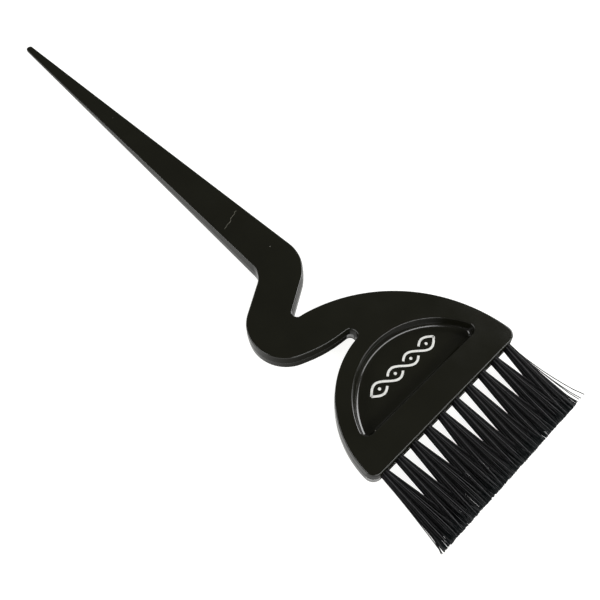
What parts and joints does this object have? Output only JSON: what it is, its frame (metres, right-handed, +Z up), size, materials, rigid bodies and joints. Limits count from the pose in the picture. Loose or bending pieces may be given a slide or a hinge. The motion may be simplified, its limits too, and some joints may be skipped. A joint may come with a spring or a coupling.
{
  "type": "tint brush",
  "caption": "Flat hair tint brush: a moulded handle with a cranked neck, a half-moon head with a sunken panel and a long thin tail, holding a row of stiff bristle tufts.",
  "frame": {"origin": "on the surface that the brush lies on, at the centre of its bounding box", "axes": "+Z up out of the face with the sunken panel, +Y along the handle from the bristles to the tip of the tail, +X to the right along the row of tufts"},
  "size_m": [0.0543, 0.208, 0.006],
  "materials": {
    "moulded_handle": "glossy black moulded ABS with softly rounded edges",
    "bristle": "black nylon filament, satin",
    "anchor_wire": "nickel-plated flat wire"
  },
  "bodies": {
    "handle": {"handle_moulding": "moulded_handle", "tuft_root_01": "bristle", "tuft_root_02": "bristle", "tuft_root_03": "bristle", "tuft_root_04": "bristle", "tuft_root_05": "bristle", "tuft_root_06": "bristle", "tuft_root_07": "bristle", "tuft_root_08": "bristle", "tuft_root_09": "bristle", "tuft_root_10": "bristle", "tuft_anchor_01": "anchor_wire", "tuft_anchor_02": "anchor_wire", "tuft_anchor_03": "anchor_wire", "tuft_anchor_04": "anchor_wire", "tuft_anchor_05": "anchor_wire", "tuft_anchor_06": "anchor_wire", "tuft_anchor_07": "anchor_wire", "tuft_anchor_08": "anchor_wire", "tuft_anchor_09": "anchor_wire", "tuft_anchor_10": "anchor_wire"},
    "tuft_01_free": {"tuft_01": "bristle"},
    "tuft_02_free": {"tuft_02": "bristle"},
    "tuft_03_free": {"tuft_03": "bristle"},
    "tuft_04_free": {"tuft_04": "bristle"},
    "tuft_05_free": {"tuft_05": "bristle"},
    "tuft_06_free": {"tuft_06": "bristle"},
    "tuft_07_free": {"tuft_07": "bristle"},
    "tuft_08_free": {"tuft_08": "bristle"},
    "tuft_09_free": {"tuft_09": "bristle"},
    "tuft_10_free": {"tuft_10": "bristle"}
  },
  "joints": [
    {"name": "tuft_flex_01", "type": "hinge", "parent": "handle", "child": "tuft_01_free", "pos_m": [-0.0234, -0.08382, 0.003], "axis": [1, 0, 0], "range_deg": [-35, 35], "stiffness_Nm_per_rad": 0.02},
    {"name": "tuft_flex_02", "type": "hinge", "parent": "handle", "child": "tuft_02_free", "pos_m": [-0.0182, -0.08382, 0.003], "axis": [1, 0, 0], "range_deg": [-35, 35], "stiffness_Nm_per_rad": 0.02},
    {"name": "tuft_flex_03", "type": "hinge", "parent": "handle", "child": "tuft_03_free", "pos_m": [-0.013, -0.08382, 0.003], "axis": [1, 0, 0], "range_deg": [-35, 35], "stiffness_Nm_per_rad": 0.02},
    {"name": "tuft_flex_04", "type": "hinge", "parent": "handle", "child": "tuft_04_free", "pos_m": [-0.0078, -0.08382, 0.003], "axis": [1, 0, 0], "range_deg": [-35, 35], "stiffness_Nm_per_rad": 0.02},
    {"name": "tuft_flex_05", "type": "hinge", "parent": "handle", "child": "tuft_05_free", "pos_m": [-0.0026, -0.08382, 0.003], "axis": [1, 0, 0], "range_deg": [-35, 35], "stiffness_Nm_per_rad": 0.02},
    {"name": "tuft_flex_06", "type": "hinge", "parent": "handle", "child": "tuft_06_free", "pos_m": [0.0026, -0.08382, 0.003], "axis": [1, 0, 0], "range_deg": [-35, 35], "stiffness_Nm_per_rad": 0.02},
    {"name": "tuft_flex_07", "type": "hinge", "parent": "handle", "child": "tuft_07_free", "pos_m": [0.0078, -0.08382, 0.003], "axis": [1, 0, 0], "range_deg": [-35, 35], "stiffness_Nm_per_rad": 0.02},
    {"name": "tuft_flex_08", "type": "hinge", "parent": "handle", "child": "tuft_08_free", "pos_m": [0.013, -0.08382, 0.003], "axis": [1, 0, 0], "range_deg": [-35, 35], "stiffness_Nm_per_rad": 0.02},
    {"name": "tuft_flex_09", "type": "hinge", "parent": "handle", "child": "tuft_09_free", "pos_m": [0.0182, -0.08382, 0.003], "axis": [1, 0, 0], "range_deg": [-35, 35], "stiffness_Nm_per_rad": 0.02},
    {"name": "tuft_flex_10", "type": "hinge", "parent": "handle", "child": "tuft_10_free", "pos_m": [0.0234, -0.08382, 0.003], "axis": [1, 0, 0], "range_deg": [-35, 35], "stiffness_Nm_per_rad": 0.02}
  ]
}
